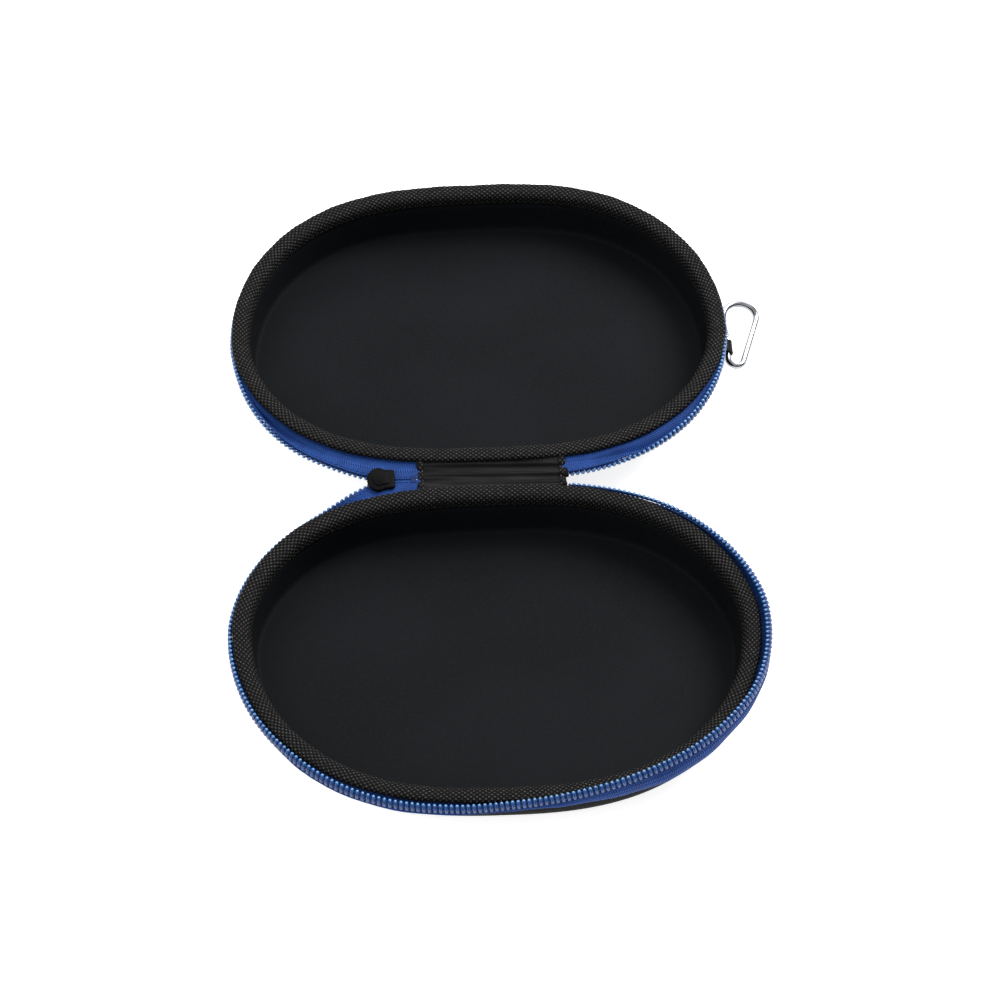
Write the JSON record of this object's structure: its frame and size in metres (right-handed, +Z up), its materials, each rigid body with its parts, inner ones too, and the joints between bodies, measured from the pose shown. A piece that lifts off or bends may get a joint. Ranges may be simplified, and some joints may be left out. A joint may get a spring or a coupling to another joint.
{
  "type": "headphone carrying case",
  "caption": "Oval hard-shell travel case lying open: padded halves with a bound rim, coil zipper, fabric hinge and a small snap hook on a webbing loop.",
  "frame": {"origin": "centre of the flat face that the base half rests on", "axes": "+X along the case's length and the hinge line, to the right; +Y across the hinge from the base half to the lid half, which lies open; +Z up from the table"},
  "size_m": [0.2176, 0.2984, 0.036],
  "materials": {
    "shell_fabric": "matte black woven polyester over moulded foam",
    "eva_foam": "matte closed-cell foam",
    "lining_fabric": "smooth charcoal knit",
    "binding": "coarse black woven tape with grey flecks",
    "hinge_fabric": "satin black woven cloth",
    "zipper_tape": "blue herringbone polyester tape",
    "zipper_coil": "semi-gloss blue nylon",
    "black_metal": "satin black",
    "slider_black": "matte black enamel",
    "webbing": "ribbed black webbing",
    "hook_metal": "polished chrome plate",
    "spring_wire": "drawn wire"
  },
  "bodies": {
    "base": {"base_outer_fabric": "shell_fabric", "base_eva_shell": "eva_foam", "base_lining": "lining_fabric", "base_rim_binding": "binding", "base_zipper_tape": "zipper_tape", "base_zipper_coil": "zipper_coil", "base_top_stop": "black_metal"},
    "spine": {"hinge_outer_panel": "shell_fabric", "hinge_inner_panel": "hinge_fabric", "hinge_end_binding_left": "binding", "hinge_end_binding_right": "binding", "chain_tapes": "zipper_tape", "chain_coils": "zipper_coil", "zipper_bottom_stop": "black_metal"},
    "lid": {"lid_outer_fabric": "shell_fabric", "lid_eva_shell": "eva_foam", "lid_lining": "lining_fabric", "lid_rim_binding": "binding", "lid_zipper_tape": "zipper_tape", "lid_zipper_coil": "zipper_coil", "lid_top_stop": "black_metal", "hook_webbing_loop": "webbing"},
    "slider": {"slider_body": "slider_black"},
    "pull_tab": {"pull_tab": "slider_black"},
    "hook": {"hook_frame": "hook_metal", "gate_rivet": "hook_metal"},
    "gate": {"hook_gate": "hook_metal", "gate_spring": "spring_wire"}
  },
  "joints": [
    {"name": "base_fold", "type": "hinge", "parent": "base", "child": "spine", "pos_m": [0, 0.0705, 0.03], "axis": [1, 0, 0], "range_deg": [0, 90]},
    {"name": "lid_fold", "type": "hinge", "parent": "spine", "child": "lid", "pos_m": [0, 0.0831, 0.03], "axis": [1, 0, 0], "range_deg": [0, 90]},
    {"name": "slider_slide", "type": "slide", "parent": "spine", "child": "slider", "axis": [1, 0, 0], "range_m": [0, 0.006]},
    {"name": "pull_tab_swing", "type": "hinge", "parent": "slider", "child": "pull_tab", "pos_m": [-0.0424, 0.0754, 0.0175], "axis": [0, 1, 0], "range_deg": [-85, 85]},
    {"name": "hook_swing", "type": "hinge", "parent": "lid", "child": "hook", "pos_m": [0.1009, 0.1513, 0.0024], "axis": [0, -1, 0], "range_deg": [0, 80]},
    {"name": "gate_open", "type": "hinge", "parent": "hook", "child": "gate", "pos_m": [0.1009, 0.1568, 0.0024], "axis": [-0.0785, 0, -0.9969], "range_deg": [0, 25], "stiffness_Nm_per_rad": 0.002, "springref_deg": -20.05}
  ],
  "couplings": [
    {"joint": "lid_fold", "follows": "base_fold", "ratio": 1}
  ]
}
